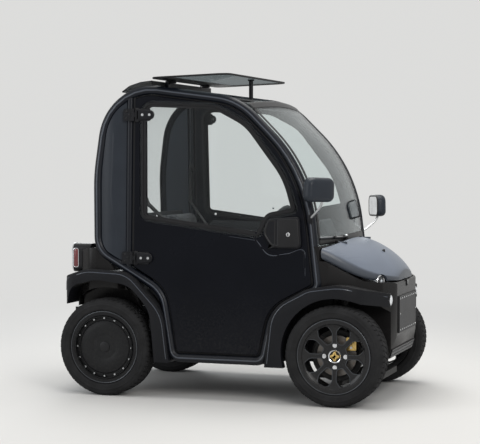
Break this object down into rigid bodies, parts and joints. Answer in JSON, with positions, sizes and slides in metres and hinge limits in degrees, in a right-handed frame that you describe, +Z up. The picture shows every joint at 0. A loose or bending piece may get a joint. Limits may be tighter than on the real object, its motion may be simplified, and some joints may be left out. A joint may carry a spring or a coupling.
{
  "type": "microcar",
  "caption": "Two-seat electric microcar with a tubular side hoop, hinged doors, a propped glass roof panel, black arch mouldings, alloy front wheels and hub motors.",
  "frame": {"origin": "on the ground below the middle of the wheelbase", "axes": "+X forward, +Y to the driver's left, +Z up"},
  "size_m": [1.71, 1.292, 1.6204],
  "materials": {
    "tyre": "matte",
    "rim": "satin black",
    "iron": "machined",
    "suspension": "satin",
    "frame_paint": "satin",
    "door_skin": "satin",
    "glass": "clear",
    "black_plastic": "grained",
    "steel": "drawn",
    "slate_plastic": "grained",
    "shell_paint": "satin",
    "hood_skin": "satin",
    "black_sheet": "satin",
    "lamp": "clear lens",
    "battery": "plain",
    "fabric": "woven"
  },
  "bodies": {
    "chassis": {"side_frame_right": "frame_paint", "side_frame_left": "frame_paint", "front_suspension": "suspension", "rear_suspension": "suspension", "hinge_leaves": "black_plastic", "quarter_panels": "slate_plastic", "windscreen": "glass", "rear_window": "glass", "roof_rails": "frame_paint", "roof_cap": "black_plastic", "front_shell": "shell_paint", "front_fenders": "black_plastic", "rear_fenders": "black_plastic", "rear_shell": "shell_paint", "rear_bumper": "black_plastic", "floor_pan": "suspension", "wheelhouses": "black_plastic", "front_plate": "black_sheet", "front_grille": "black_sheet", "front_lamps": "lamp", "tail_lamps": "lamp", "seat_box": "suspension", "battery_block": "battery", "seat_cushions": "fabric", "seat_backs": "fabric", "dashboard": "black_plastic", "steering_column": "black_plastic", "door_mirrors": "black_plastic", "wiper": "black_plastic"},
    "hood": {"hood": "hood_skin"},
    "roof_panel": {"roof_panel": "glass", "roof_lugs": "black_plastic", "roof_stay": "black_plastic"},
    "door_right": {"door_panel_right": "door_skin", "door_glass_right": "glass", "door_fittings_right": "black_plastic"},
    "door_left": {"door_panel_left": "door_skin", "door_glass_left": "glass", "door_fittings_left": "black_plastic"},
    "steering_wheel": {"steering_wheel": "black_plastic"},
    "rack": {"steering_rack": "steel"},
    "knuckle_right": {"knuckle_right": "suspension"},
    "knuckle_left": {"knuckle_left": "suspension"},
    "wheel_front_right": {"tyre_front_right": "tyre", "rim_front_right": "rim", "brake_disc_right": "iron"},
    "wheel_front_left": {"tyre_front_left": "tyre", "rim_front_left": "rim", "brake_disc_left": "iron"},
    "wheel_rear_right": {"tyre_rear_right": "tyre", "rim_rear_right": "rim"},
    "wheel_rear_left": {"tyre_rear_left": "tyre", "rim_rear_left": "rim"}
  },
  "joints": [
    {"name": "door_right_hinge", "type": "hinge", "parent": "chassis", "child": "door_right", "pos_m": [-0.456, -0.47765, 1.06183], "axis": [0, 0.0332, 0.9995], "range_deg": [-75, 0]},
    {"name": "door_left_hinge", "type": "hinge", "parent": "chassis", "child": "door_left", "pos_m": [-0.456, 0.47765, 1.06183], "axis": [0, -0.0332, 0.9995], "range_deg": [0, 75]},
    {"name": "hood_hinge", "type": "hinge", "parent": "chassis", "child": "hood", "pos_m": [0.549, 0, 0.787], "axis": [0, -1, 0], "range_deg": [0, 55]},
    {"name": "roof_panel_hinge", "type": "hinge", "parent": "chassis", "child": "roof_panel", "pos_m": [-0.352, 0, 1.592], "axis": [0, 1, 0], "range_deg": [0, 11]},
    {"name": "steer_right", "type": "hinge", "parent": "chassis", "child": "knuckle_right", "pos_m": [0.6025, -0.412, 0.118], "axis": [0, 0.2259, 0.9741], "range_deg": [-27, 27]},
    {"name": "steer_left", "type": "hinge", "parent": "chassis", "child": "knuckle_left", "pos_m": [0.6025, 0.412, 0.118], "axis": [0, -0.2259, 0.9741], "range_deg": [-27, 27]},
    {"name": "steering_wheel_turn", "type": "hinge", "parent": "chassis", "child": "steering_wheel", "pos_m": [0.062, 0.205, 0.8], "axis": [-0.848, 0, 0.5299], "range_deg": [-405, 405]},
    {"name": "rack_slide", "type": "slide", "parent": "chassis", "child": "rack", "axis": [0, 1, 0], "range_m": [-0.0415, 0.0415]},
    {"name": "wheel_front_right_spin", "type": "hinge", "parent": "knuckle_right", "child": "wheel_front_right", "pos_m": [0.6025, -0.445, 0.246], "axis": [0, 1, 0], "continuous": true},
    {"name": "wheel_front_left_spin", "type": "hinge", "parent": "knuckle_left", "child": "wheel_front_left", "pos_m": [0.6025, 0.445, 0.246], "axis": [0, 1, 0], "continuous": true},
    {"name": "wheel_rear_right_spin", "type": "hinge", "parent": "chassis", "child": "wheel_rear_right", "pos_m": [-0.6025, -0.445, 0.246], "axis": [0, 1, 0], "continuous": true},
    {"name": "wheel_rear_left_spin", "type": "hinge", "parent": "chassis", "child": "wheel_rear_left", "pos_m": [-0.6025, 0.445, 0.246], "axis": [0, 1, 0], "continuous": true}
  ],
  "couplings": [
    {"joint": "steer_left", "follows": "steer_right", "ratio": 1},
    {"joint": "rack_slide", "follows": "steer_right", "m_per_rad": 0.088},
    {"joint": "steering_wheel_turn", "follows": "steer_right", "ratio": 15}
  ]
}
